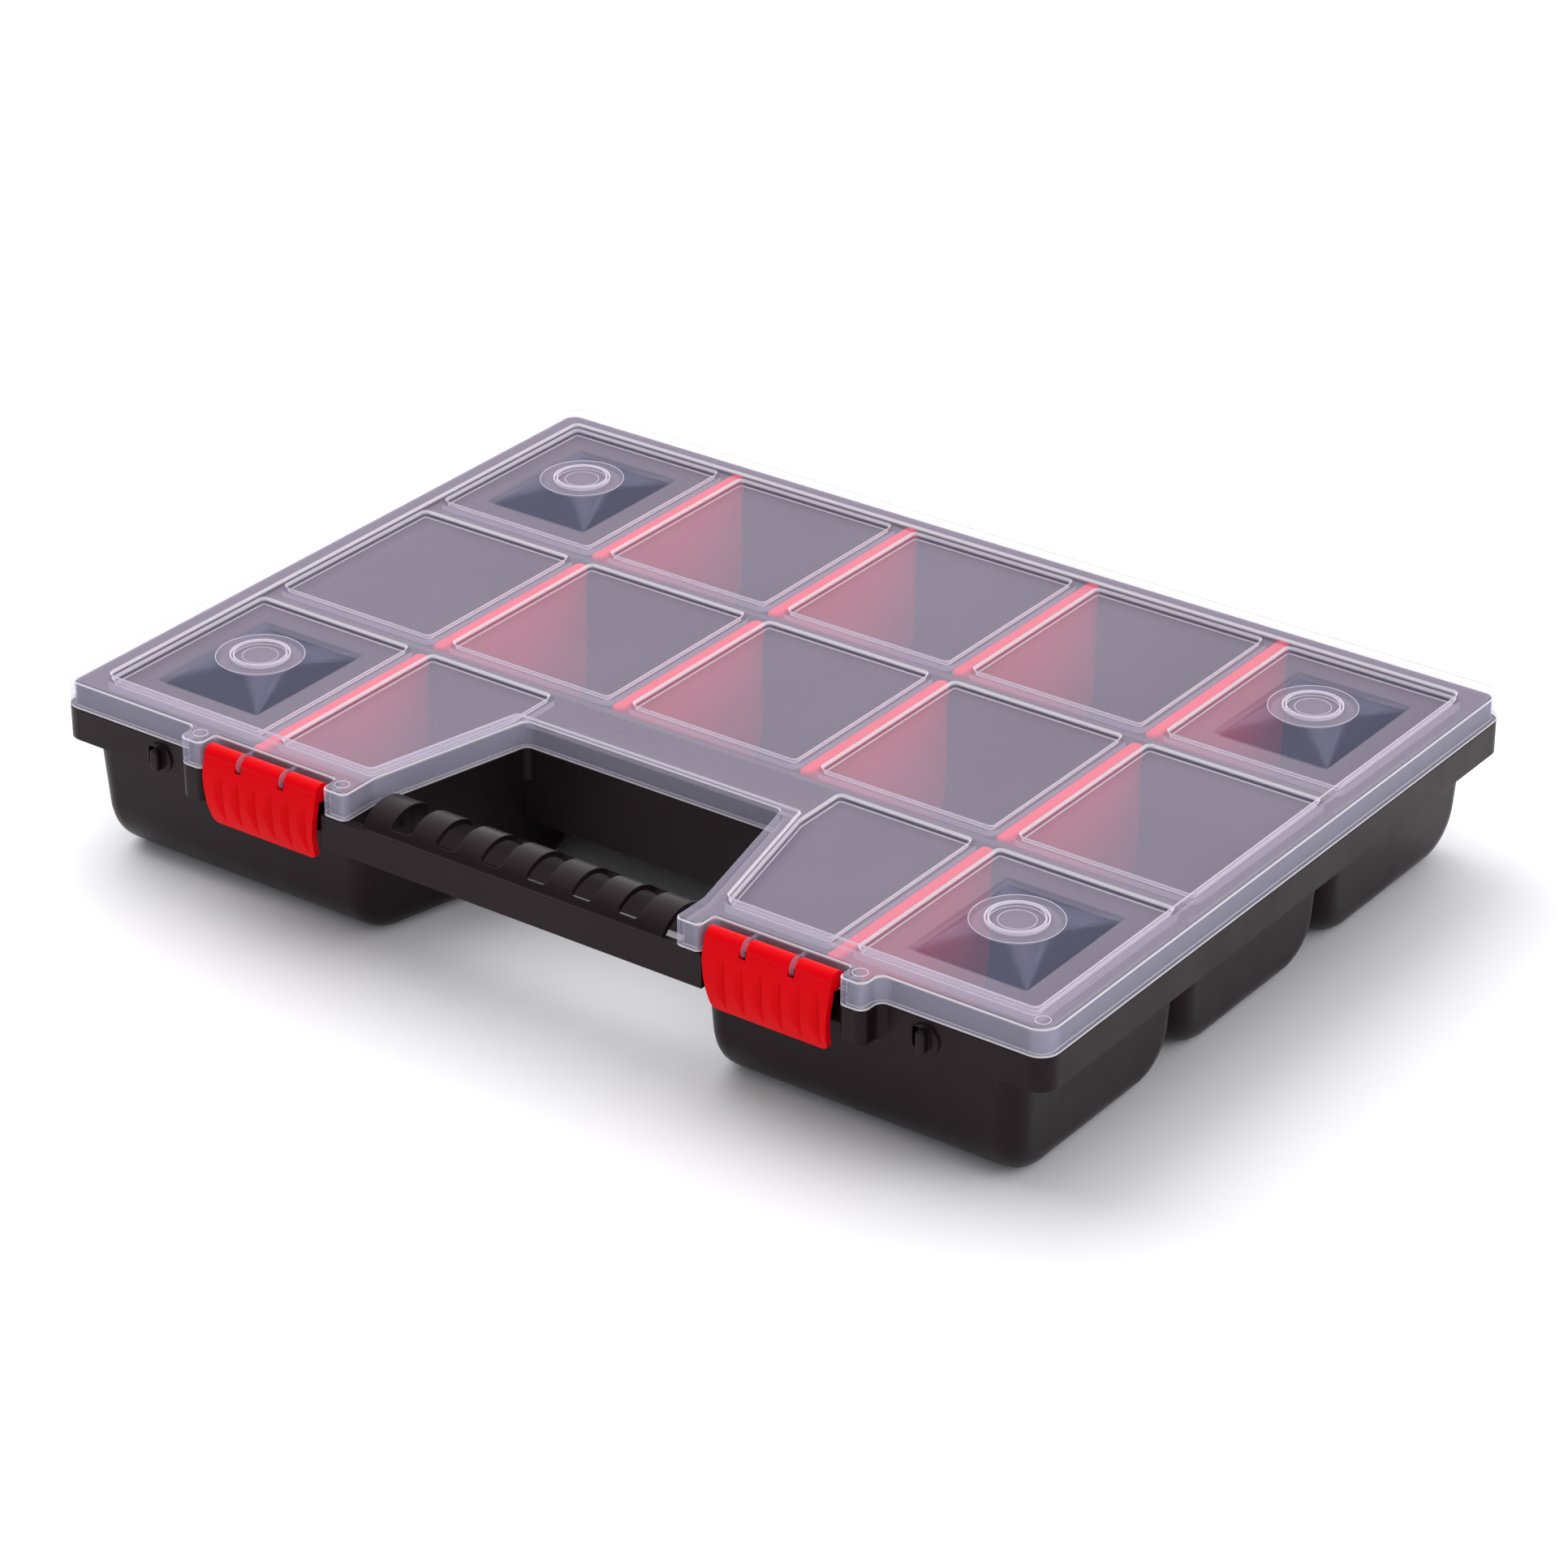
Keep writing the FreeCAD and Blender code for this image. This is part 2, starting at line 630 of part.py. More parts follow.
def make_tray():
    outline = case_outline()
    rim = prism(outline, TRAY_TOP - FLANGE, TRAY_TOP)
    skirt = prism(outline, SKIRT_BOTTOM, TRAY_TOP)
    inside = offset_corners(outline, -WALL)
    skirt = skirt.cut(prism(inside, SKIRT_BOTTOM - CLEAR, TRAY_TOP + CLEAR))
    right = trough(0, "right", 0, TRAY_TOP)
    rows = [right.fuse(mirror_x(right))] + [trough(row, "full", 0, TRAY_TOP) for row in (1, 2)]
    solids = [rim, skirt, upstand()] + rows
    apron_x = slant_x(RECESS_Y, SLANT_INSET) + ROOT
    solids.append(box(-apron_x, apron_x, RECESS_Y, RECESS_Y + WALL, APRON_BOTTOM, TRAY_TOP))
    half = WALL - WALL_SLOPE * (ROW_WALL_TOP - VALLEY_Z)
    for y in ROW_WALLS:
        wall_x = END_X - ROOT
        solids.append(box(-wall_x, wall_x, y - half, y + half, VALLEY_Z, ROW_WALL_TOP))
    solids += handle()
    tray = fuse(solids)
    inner = trough(0, "right", WALL, TRAY_TOP + TOUCH)
    spaces = [inner, mirror_x(inner)]
    spaces += [trough(row, "full", WALL, TRAY_TOP + TOUCH) for row in (1, 2)]
    tray = tray.cut(spaces)
    extras = []
    for row, outer in enumerate(rows):
        extras += guide_ribs(row, outer)
    for x in HINGE_XS:
        extras += hinge_mount(x)
    extras += [link_peg(PEG_X), link_peg(-PEG_X)]
    tray = tray.fuse(extras)
    tray = tray.cut([peg_slot(PEG_X), peg_slot(-PEG_X)])
    return tray.removeSplitter()


# ---------------------------------------------------------------- dividers
def make_divider(row, x):
    inset = WALL + WEB_GAP
    web = row_profile(row, inset, WEB_TOP, x - WEB_T / 2, x + WEB_T / 2)
    front, back = row_limits(row, BEAD_TOP)
    y0, y1 = front + WALL + BEAD_INSET, back - WALL - BEAD_INSET
    half = BEAD_W / 2
    bead = box(x - half, x + half, y0, y1, BEAD_TOP - BEAD_H, BEAD_TOP)
    upright = [e for e in bead.Edges if e.BoundBox.ZLength > BEAD_H - TOUCH]
    bead = bead.makeFillet(BEAD_END_R, upright)
    top = [e for e in bead.Edges if e.BoundBox.ZMin > BEAD_TOP - TOUCH]
    bead = bead.makeFillet(BEAD_EDGE_R, top)
    return web.fuse(bead).removeSplitter()


# ---------------------------------------------------------------- latches
def latch_arc(offset):
    """Front face of the latch seen from the side, moved back by offset."""
    top = V(0, ROLL_Y - ROLL_R + offset, ROLL_Z)
    belly = V(0, LATCH_BELLY_Y + offset, LATCH_BELLY_Z)
    foot = V(0, LATCH_FOOT_Y + offset, LATCH_FOOT_Z)
    return top, belly, foot


def latch_shell():
    outer = latch_arc(0)
    inner = latch_arc(LATCH_T)
    edges = [
        Part.Arc(*outer).toShape(),
        Part.makeLine(outer[2], inner[2]),
        Part.Arc(*reversed(inner)).toShape(),
        Part.makeLine(inner[0], outer[0]),
    ]
    half = LATCH_W / 2
    shell = Part.Face(Part.Wire(edges)).extrude(V(LATCH_W, 0, 0))
    shell.translate(V(-half, 0, 0))
    return shell


def latch_side_trim():
    """Trapezium that narrows the latch towards its rounded foot, seen from the front."""
    half, foot = LATCH_W / 2, LATCH_FOOT_W / 2
    high, bend, low = ROLL_Z + ROLL_R + CLEAR, LATCH_BEND_Z, LATCH_FOOT_Z + LATCH_CUT
    outline = [(-half, high), (-half, bend), (-foot, low), (foot, low), (half, bend), (half, high)]
    pts = [V(x, -FAR, z) for x, z in outline]
    trim = Part.Face(Part.makePolygon(pts + [pts[0]])).extrude(V(0, 2 * FAR, 0))
    level = [e for e in trim.Edges if e.BoundBox.XLength < TOUCH]
    corners = [e for e in level if e.BoundBox.ZMax < low + TOUCH]
    return trim.makeFillet(LATCH_CORNER_R, corners)


def latch_front_y(z):
    """Y of the latch's bowed front face at height z."""
    bow = Part.Arc(*latch_arc(0)).toShape().Curve
    return bow.Center.y - math.sqrt(bow.Radius ** 2 - (z - bow.Center.z) ** 2)


def flute(x):
    """A sickle-shaped finger groove: a ramp that steepens as it goes in, then a short step."""
    wires = []
    for i in range(FLUTE_SECTIONS):
        share = i / (FLUTE_SECTIONS - 1)
        swell = FLUTE_END + (1 - FLUTE_END) * math.sin(math.pi * share ** FLUTE_PEAK)
        z = FLUTE_TOP + (FLUTE_BOTTOM - FLUTE_TOP) * share
        face = latch_front_y(z)
        outside = face - FLUTE_OVERRUN * swell
        deepest = face + FLUTE_DEPTH * swell
        left = V(x - FLUTE_RAMP * swell, outside, z)
        knee = left + V(FLUTE_RAMP * swell * FLUTE_KNEE, (deepest - outside) * FLUTE_KNEE_DEPTH, 0)
        deep = V(x, deepest, z)
        right = V(x + FLUTE_STEP * swell, outside, z)
        ramp = Part.Arc(left, knee, deep).toShape()
        step = Part.makeLine(deep, right)
        wires.append(Part.Wire([ramp, step, Part.makeLine(right, left)]))
    return Part.makeLoft(wires, True, False)


def make_latch(centre_x):
    half = LATCH_W / 2
    roll = rod(ROLL_R, -half, half, ROLL_Y, ROLL_Z)
    lip = box(-LIP_X, LIP_X, LATCH_FOOT_Y + ROOT, BAY_Y - FIT_GAP, LIP_Z, LIP_Z + LIP_T)
    latch = latch_shell().fuse([roll, lip]).common(latch_side_trim())
    pitch = (LATCH_FOOT_W - FLUTE_STEP) / FLUTES
    for i in range(FLUTES):
        x = -LATCH_FOOT_W / 2 + pitch * (i + FLUTE_PLACE)
        latch = latch.cut(flute(x))
    for x in (-SLOT_X, SLOT_X):
        x0, x1 = x - SLOT_W / 2, x + SLOT_W / 2
        latch = latch.cut(rod(SLOT_R, x0, x1, ROLL_Y, ROLL_Z))
        latch = latch.fuse(rod(PIN_R, x0 - ROOT, x1 + ROOT, ROLL_Y, ROLL_Z))
    latch = latch.removeSplitter()
    latch.translate(V(centre_x, 0, 0))
    return latch


# ---------------------------------------------------------------- output
def all_parts():
    parts = {"tray": make_tray(), "lid": make_lid()}
    parts["latch_left"] = make_latch(-LATCH_X)
    parts["latch_right"] = make_latch(LATCH_X)
    row_names = ("front", "middle", "back")
    for row, row_name in enumerate(row_names):
        for number, x in enumerate(row_columns(row), 1):
            parts["divider_%s_%d" % (row_name, number)] = make_divider(row, x)
    return parts


def main():
    os.makedirs("parts", exist_ok=True)
    for name, shape in all_parts().items():
        shape.translate(V(0, -ORIGIN_Y, 0))
        shape = shape.Solids[0] if len(shape.Solids) == 1 else shape
        shape.exportStep("parts/%s.step" % name)
        print(name, "solids", len(shape.Solids), "valid", shape.isValid(), "volume", round(shape.Volume))


main()
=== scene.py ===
import json
import math

import bmesh
import bpy
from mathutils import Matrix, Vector


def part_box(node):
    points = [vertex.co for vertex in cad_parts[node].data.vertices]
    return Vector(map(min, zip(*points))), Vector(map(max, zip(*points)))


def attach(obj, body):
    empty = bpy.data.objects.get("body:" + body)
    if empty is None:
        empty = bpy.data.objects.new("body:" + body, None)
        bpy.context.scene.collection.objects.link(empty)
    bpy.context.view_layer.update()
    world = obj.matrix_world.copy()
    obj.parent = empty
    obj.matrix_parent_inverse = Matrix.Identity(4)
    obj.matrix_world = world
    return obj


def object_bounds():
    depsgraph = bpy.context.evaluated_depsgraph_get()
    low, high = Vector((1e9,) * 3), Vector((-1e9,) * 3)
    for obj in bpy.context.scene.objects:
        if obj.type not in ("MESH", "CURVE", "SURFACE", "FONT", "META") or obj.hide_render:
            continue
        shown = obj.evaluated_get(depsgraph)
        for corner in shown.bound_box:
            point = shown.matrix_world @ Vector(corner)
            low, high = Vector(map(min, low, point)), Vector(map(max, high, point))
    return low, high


# A flat parts organizer case: black tray, milky clear lid, red latches and dividers.
# The shapes are the imported model's own. This script gives them their materials, with
# painted reflection, highlights and shade on the lid, adds thin bright beads along the lid's
# pocket edges as painted highlight lines, and moulding marks, both too fine for the model, and
# sets floor, light and camera. Metres, in the model's frame.

MM = 0.001

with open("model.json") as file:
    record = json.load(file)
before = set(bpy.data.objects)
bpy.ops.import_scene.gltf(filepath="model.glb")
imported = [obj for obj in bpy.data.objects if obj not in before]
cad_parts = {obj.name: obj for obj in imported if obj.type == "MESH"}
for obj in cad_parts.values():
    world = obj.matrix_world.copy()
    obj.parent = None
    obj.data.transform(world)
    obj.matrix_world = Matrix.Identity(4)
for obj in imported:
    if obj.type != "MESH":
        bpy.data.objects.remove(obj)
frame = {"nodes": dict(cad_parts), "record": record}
cad_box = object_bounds()

# ---- camera ----
AZIMUTH = 36.04
ELEVATION = 28.09
DISTANCE = 1.607
LENS = 116.9
SENSOR_WIDTH = 36.0
TARGET_SHIFT = Vector((45.8, -60.2, 32.9)) * MM

# ---- light ----
KEY_PLACE, KEY_AIM, KEY_SIZE, KEY_POWER = (-1.2, 0.1, 1.8), (0, 0, 0), 2.4, 30.0
SIDE_PLACE, SIDE_AIM, SIDE_SIZE, SIDE_POWER = (1.9, 0.5, 0.9), (0, 0, 0.03), 1.4, 9.0
SKY = (0.97, 0.97, 1.0)
SKY_LEFT = 0.42
SKY_RIGHT = 0.80
SKY_GLOW = 1.0
GLOW_TURN = (0.2, 0.95)

# ---- every surface ----
MOTTLE_SPAN = (0.3, 0.7)  # the part of a noise's range that takes a tone from dark to bright
BEVEL_SAMPLES = 6

# ---- floor ----
FLOOR_SIZE = 6.0
FLOOR_DARK, FLOOR_BRIGHT = (0.90, 0.90, 0.91), (0.92, 0.92, 0.93)
FLOOR_ROUGH = 0.6

# ---- black plastic; a grain or wave is its depth and its strength ----
PP_IOR = 1.49
TRAY_DARK, TRAY_BRIGHT = (0.0060, 0.0040, 0.0045), (0.0086, 0.0062, 0.0068)
TRAY_ROUGH = (0.30, 0.40)
TRAY_GLOSS = 0.20
TRAY_GLOSS_TINT = (1.0, 0.70, 0.76, 1)
TRAY_EDGE = 0.5 * MM
TRAY_GRAIN = (0.01 * MM, 0.2)

# ---- red plastic: dark and bright tone, gloss, lowest roughness, edge radius ----
LATCH_RED = ((0.71, 0.0006, 0.004), (0.77, 0.001, 0.006), 0.04, 0.28, 0.15 * MM)
DIVIDER_RED = ((0.70, 0.006, 0.018), (0.80, 0.010, 0.026), 0.10, 0.38, 0.3 * MM)
RED_IOR = 1.5
RED_ROUGH_SPREAD = 0.08
RED_GRAIN = (0.02 * MM, 0.25)

# ---- lid plastic: masks by how a face lies ----
# A mask is 0 at its first number and 1 at its second. Three numbers make a band: 1 between
# the first two, and 0 beyond them by the third. A slope is the size of the normal's z, and
# a turn is the size of its x times its y.
FLAT_SLOPE = (0.96, 0.99)
UPRIGHT_SLOPE = (0.6, 0.2)
CURVED_TURN = (0.02, 0.07)
RIDGE_GLINT_TURN = (0.03, 0.075)
RIDGE_GLINT_SLOPE = (0.75, 0.95, 0.03)
TOP_ROUND_SLOPE = (0.30, 0.77, 0.02)
POCKET_ROUND_SLOPE = (0.55, 0.77, 0.03)

# ---- lid plastic: masks by place on the lid ----
RAISED_HEIGHT = (58.0 * MM, 61.0 * MM)
TOP_ROUND_HEIGHT = (60.2 * MM, 60.4 * MM)
FOOT_HEIGHT = (51.5 * MM, 52.3 * MM, 0.1 * MM)
POCKETS_DEPTH = (-130 * MM, 130 * MM, MM)
LATCH_X = 100.5 * MM
HOOKS_DEPTH = (-136.0 * MM, -136.2 * MM)
HOOKS_HALF_WIDTH = (20 * MM, 19 * MM)

# ---- lid plastic: how milky it is and its tone, with painted reflection, highlights and shade ----
# Level faces are milkier than tilted ones, as a painted reflection of the bright room.
FLAT_HAZE_AND_REFLECTION = (0.128, 0.142)
TILTED_HAZE = 0.075
# Raised level faces get more haze as painted reflection. Curving faces, boss corners, skirt
# corners, the skirt's lower edge and rounded edges get more as painted highlights. Hooks stay
# clear.
HAZE_AND_PAINTED_LIGHT = {
    "raised": 0.168,
    "upright": 0.175,
    "curved": 0.12,
    "ridge_glint": 0.28,
    "corner": 0.24,
    "foot": 0.55,
    "broken": 0.62,
    "hooks": 0.10,
}
FLAT_TONE, TILTED_TONE = (0.82, 0.73, 0.92), (0.60, 0.62, 0.92)
# The bluish upright tone is painted shade. The near-white tones of boss corners, the skirt's lower
# edge and rounded edges are painted highlights.
TONE_AND_PAINTED_LIGHT = {
    "upright": (0.74, 0.72, 0.92),
    "ridge_glint": (0.92, 0.86, 0.92),
    "foot": (0.95, 0.91, 0.95),
    "broken": (0.95, 0.91, 0.95),
}
LID_ROUGH = (0.12, 0.18)
LID_WAVES = (0.3 * MM, 0.2)

# ---- painted highlight lines and marks on the lid; a drop is measured down from its highest point ----
# Bright milky finish of the beads: painted highlight lines along pocket edges, also used for the
# ejector and boss rings.
MARK_HIGHLIGHT_DARK, MARK_HIGHLIGHT_BRIGHT = (0.86, 0.81, 0.86), (0.92, 0.88, 0.92)
MARK_ROUGH = (0.16, 0.26)
MARK_GLOSS = 0.6
MARK_HIGHLIGHT_HAZE = 0.45
MARK_R = 2.4 * MM
EJECTOR_MARKS = {
    "left_outer": (-130.5 * MM, 6.0 * MM),
    "left_inner": (-70.5 * MM, 6.0 * MM),
    "right_outer": (130.5 * MM, 6.0 * MM),
    "right_corner": (189.6 * MM, 14.8 * MM),
}
BOSS_MARK_R = 6.0 * MM
BOSS_FROM_SIDE = 43.85 * MM
BOSS_FROM_FRONT = 58.8 * MM
BOSS_ROW_PITCH = 173.38 * MM
BOSS_FLOOR_DROP = 1.1 * MM
RIM_DROP = 1.7 * MM
BOSS_RIM_R = 15.0 * MM
BOSS_RIM_DROP = 0.7 * MM
WIRE_R = 0.26 * MM
FINE_R = 0.14 * MM
WIRE_SIDES = 6
MARK_STEPS = 48
BOSS_RIM_STEPS = 72
WELD = 0.01 * MM
BEADS_FROM_FRONT = 12.0 * MM
BEADS_FROM_BACK = 15.0 * MM
FLAT_NORMAL_Z = 0.99
STEEP_NORMAL_Z = 0.5


# ---------------------------------------------------------------- node helpers
def rgba(value):
    """A grey number or an RGB colour as an opaque colour."""
    return (value, value, value, 1) if isinstance(value, float) else (*value, 1)


class Shader:
    """A small wrapper round one material's node tree."""

    def __init__(self, name):
        self.material = bpy.data.materials.new(name)
        self.material.use_nodes = True
        self.tree = self.material.node_tree
        self.bsdf = self.tree.nodes["Principled BSDF"]
        coordinates = self.node("ShaderNodeTexCoord").outputs
        self.place, self.facing = coordinates["Object"], coordinates["Normal"]

    def node(self, kind, **settings):
        made = self.tree.nodes.new(kind)
        for key, value in settings.items():
            setattr(made, key, value)
        return made

    def link(self, source, target):
        self.tree.links.new(source, target)

    def set(self, **values):
        """Values for the shader's own inputs, named with _ for a space."""
        for key, value in values.items():
            self.bsdf.inputs[key.replace("_", " ")].default_value = value

    def feed(self, **sources):
        """Sockets linked to the shader's own inputs, named with _ for a space."""
        for key, source in sources.items():
            self.link(source, self.bsdf.inputs[key.replace("_", " ")])

    def noise(self, scale, detail):
        made = self.node("ShaderNodeTexNoise")
        made.inputs["Scale"].default_value = scale
        made.inputs["Detail"].default_value = detail
        self.link(self.place, made.inputs["Vector"])
        return made.outputs["Fac"]

    def mottled(self, low, high, scale, detail):
        """A colour or number that drifts between two values over the surface."""
        made = self.node("ShaderNodeValToRGB")
        for point, position, value in zip(made.color_ramp.elements, MOTTLE_SPAN, (low, high)):
            point.position = position
            point.color = rgba(value)
        self.link(self.noise(scale, detail), made.inputs["Fac"])
        return made.outputs["Color"]

    def bump(self, source, distance, strength, normal=None):
        made = self.node("ShaderNodeBump")
        made.inputs["Distance"].default_value = distance
        made.inputs["Strength"].default_value = strength
        self.link(source, made.inputs["Height"])
        if normal is not None:
            self.link(normal, made.inputs["Normal"])
        return made.outputs["Normal"]

    def rounded(self, radius):
        """Normals turned round sharp edges, as on a moulded part."""
        made = self.node("ShaderNodeBevel", samples=BEVEL_SAMPLES)
        made.inputs["Radius"].default_value = radius
        return made.outputs["Normal"]

    def math(self, operation, first, second=None):
        made = self.node("ShaderNodeMath", operation=operation)
        for target, value in zip(made.inputs, (first, second)):
            if isinstance(value, bpy.types.NodeSocket):
                self.link(value, target)
            elif value is not None:
                target.default_value = value
        return made.outputs["Value"]

    def size_of(self, value):
        """The value without its sign."""
        return self.math("ABSOLUTE", value)

    def both(self, first, second):
        """1 where both masks are 1."""
        return self.math("MULTIPLY", first, second)

    def span(self, source, low, high):
        """0 at low, 1 at high, and straight between them."""
        made = self.node("ShaderNodeMapRange", clamp=True)
        made.inputs["From Min"].default_value = low
        made.inputs["From Max"].default_value = high
        self.link(source, made.inputs["Value"])
        return made.outputs["Result"]

    def band(self, source, low, high, soft):
        """1 between low and high, falling to 0 within soft on either side."""
        rise = self.span(source, low - soft, low)
        return self.both(rise, self.span(source, high + soft, high))

    def parts_of(self, vector):
        made = self.node("ShaderNodeSeparateXYZ")
        self.link(vector, made.inputs["Vector"])
        return made.outputs["X"], made.outputs["Y"], made.outputs["Z"]

    def mix(self, share, first, second):
        """A colour or grey between two sockets or values, by share."""
        made = self.node("ShaderNodeMix", data_type="RGBA")
        self.link(share, made.inputs["Factor"])
        for value, name in ((first, "A"), (second, "B")):
            target = next(i for i in made.inputs if i.name == name and i.type == "RGBA")
            if isinstance(value, bpy.types.NodeSocket):
                self.link(value, target)
            else:
                target.default_value = rgba(value)
        return next(o for o in made.outputs if o.type == "RGBA")


# ---------------------------------------------------------------- materials
def tray_plastic():
    """Satin black polypropylene with a fine moulded grain and faint flow marks."""
    s = Shader("tray_black_pp")
    s.set(IOR=PP_IOR, Specular_IOR_Level=TRAY_GLOSS, Specular_Tint=TRAY_GLOSS_TINT)
    s.feed(
        Base_Color=s.mottled(TRAY_DARK, TRAY_BRIGHT, scale=26.0, detail=3.0),
        Roughness=s.mottled(*TRAY_ROUGH, scale=60.0, detail=4.0),
        Normal=s.bump(s.noise(scale=1300.0, detail=1.0), *TRAY_GRAIN, s.rounded(TRAY_EDGE)),
    )
    return s.material


def lid_masks(s):
    """Where each kind of face lies on the lid, as masks from 0 to 1.

    flat is level, and raised is flat but up on the border and ribs. upright is skirt and
    pocket walls, corner is where they curve, and foot is the skirt's lower edge.
    ridge_glint is the rounded corners of the bosses, broken is the rounded edges
    round pockets and top, and hooks is what stands in front of the skirt at each latch.
    curved is where a face's normal turns partway between x and y. These masks place the
    painted reflection, highlights and shade of lid_plastic.
    """
    sideways, depth, height = s.parts_of(s.place)
    nx, ny, nz = s.parts_of(s.facing)
    level, turned = s.size_of(nz), s.size_of(s.math("MULTIPLY", nx, ny))
    from_latch = s.size_of(s.math("SUBTRACT", s.size_of(sideways), LATCH_X))
    masks = {
        "flat": s.span(level, *FLAT_SLOPE),
        "upright": s.span(level, *UPRIGHT_SLOPE),
        "curved": s.span(turned, *CURVED_TURN),
        "ridge_glint": s.both(s.span(turned, *RIDGE_GLINT_TURN), s.band(level, *RIDGE_GLINT_SLOPE)),
        "hooks": s.both(s.span(depth, *HOOKS_DEPTH), s.span(from_latch, *HOOKS_HALF_WIDTH)),
    }
    masks["raised"] = s.both(masks["flat"], s.span(height, *RAISED_HEIGHT))
    masks["corner"] = s.both(masks["curved"], masks["upright"])
    masks["foot"] = s.both(masks["upright"], s.band(height, *FOOT_HEIGHT))
    top_round = s.both(s.band(level, *TOP_ROUND_SLOPE), s.span(height, *TOP_ROUND_HEIGHT))
    pocket_round = s.both(s.band(level, *POCKET_ROUND_SLOPE), s.band(depth, *POCKETS_DEPTH))
    masks["broken"] = s.math("MAXIMUM", pocket_round, top_round)
    return masks


def lid_plastic():
    """See-through polypropylene, milkier where it lies level as a painted reflection of the bright
    room, with rounded edges, curves and boss corners brightened as painted highlights, and a
    bluish painted shade on upright faces.

    It has no mirror gloss, because on a face this clear that renders as grain.
    """
    s = Shader("lid_clear_pp")
    s.set(IOR=PP_IOR, Specular_IOR_Level=0.0)
    masks = lid_masks(s)
    # Level faces are milkier as painted reflection. The masks add painted highlights and a bluish
    # painted shade.
    haze_and_painted_light = s.mix(masks["flat"], TILTED_HAZE, s.mottled(*FLAT_HAZE_AND_REFLECTION, scale=14.0, detail=3.0))
    for kind, haze in HAZE_AND_PAINTED_LIGHT.items():
        haze_and_painted_light = s.mix(masks[kind], haze_and_painted_light, haze)
    tone = s.mix(masks["flat"], TILTED_TONE, FLAT_TONE)
    for kind, tint in TONE_AND_PAINTED_LIGHT.items():
        tone = s.mix(masks[kind], tone, tint)
    s.feed(
        Alpha=haze_and_painted_light,
        Base_Color=tone,
        Roughness=s.mottled(*LID_ROUGH, scale=40.0, detail=2.0),
        Normal=s.bump(s.noise(scale=9.0, detail=1.0), *LID_WAVES),
    )
    return s.material


def red_plastic(name, dark, bright, gloss, rough, edge):
    """Moulded red plastic, a little uneven in tone and gloss."""
    s = Shader(name)
    s.set(IOR=RED_IOR, Specular_IOR_Level=gloss)
    s.feed(
        Base_Color=s.mottled(dark, bright, scale=30.0, detail=3.0),
        Roughness=s.mottled(rough, rough + RED_ROUGH_SPREAD, scale=75.0, detail=4.0),
        Normal=s.bump(s.noise(scale=1800.0, detail=2.0), *RED_GRAIN, s.rounded(edge)),
    )
    return s.material


def mark_and_highlight_finish():
    """A bright milky finish: painted highlight lines along the lid's pocket edges, also used for
    the ejector and boss rings.
    """
    s = Shader("lid_mark_and_highlight_pp")
    s.set(IOR=PP_IOR, Specular_IOR_Level=MARK_GLOSS, Alpha=MARK_HIGHLIGHT_HAZE)
    s.feed(
        Base_Color=s.mottled(MARK_HIGHLIGHT_DARK, MARK_HIGHLIGHT_BRIGHT, scale=120.0, detail=2.0),
        Roughness=s.mottled(*MARK_ROUGH, scale=200.0, detail=2.0),
    )
    return s.material


def floor_paint():
    s = Shader("pale_floor")
    s.set(Roughness=FLOOR_ROUGH)
    s.feed(Base_Color=s.mottled(FLOOR_DARK, FLOOR_BRIGHT, scale=3.0, detail=2.0))
    return s.material


def dress_nodes():
    """Every CAD node gets the material of its slot."""
    finishes = {
        "tray_black": tray_plastic(),
        "lid_clear": lid_plastic(),
        "latch_red": red_plastic("latch_red_gloss", *LATCH_RED),
        "divider_red": red_plastic("divider_red_satin", *DIVIDER_RED),
    }
    slots = {part["node"]: part["material_slot"] for part in frame["record"]["subparts"]}
    for name, node in frame["nodes"].items():
        node.data.materials.clear()
        node.data.materials.append(finishes[slots[name]])


# ---------------------------------------------------------------- painted highlight lines and marks
def bead_mesh(name, loops, wire):
    """Thin round beads along closed level loops of points."""
    up = Vector((0, 0, 1))
    mesh = bmesh.new()
    for loop in loops:
        rings = []
        for i, point in enumerate(loop):
            along = (loop[(i + 1) % len(loop)] - loop[i - 1]).normalized()
            aside = along.cross(up)
            ring = []
            for j in range(WIRE_SIDES):
                turn = 2 * math.pi * j / WIRE_SIDES
                offset = aside * math.cos(turn) + up * math.sin(turn)
                ring.append(mesh.verts.new(point + offset * wire))
            rings.append(ring)
        for i, here in enumerate(rings):
            there = rings[(i + 1) % len(rings)]
            for j in range(WIRE_SIDES):
                k = (j + 1) % WIRE_SIDES
                mesh.faces.new((here[j], there[j], there[k], here[k])).smooth = True
    bmesh.ops.recalc_face_normals(mesh, faces=mesh.faces)
    data = bpy.data.meshes.new(name)
    mesh.to_mesh(data)
    mesh.free()
    return data


def circle(centre, radius, count=MARK_STEPS):
    turns = (2 * math.pi * i / count for i in range(count))
    return [centre + Vector((math.cos(turn), math.sin(turn), 0)) * radius for turn in turns]


def add_beads(name, loops, finish, wire):
    beads = bpy.data.objects.new(name, bead_mesh(name, loops, wire))
    beads.data.materials.append(finish)
    bpy.context.scene.collection.objects.link(beads)
    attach(beads, "lid")


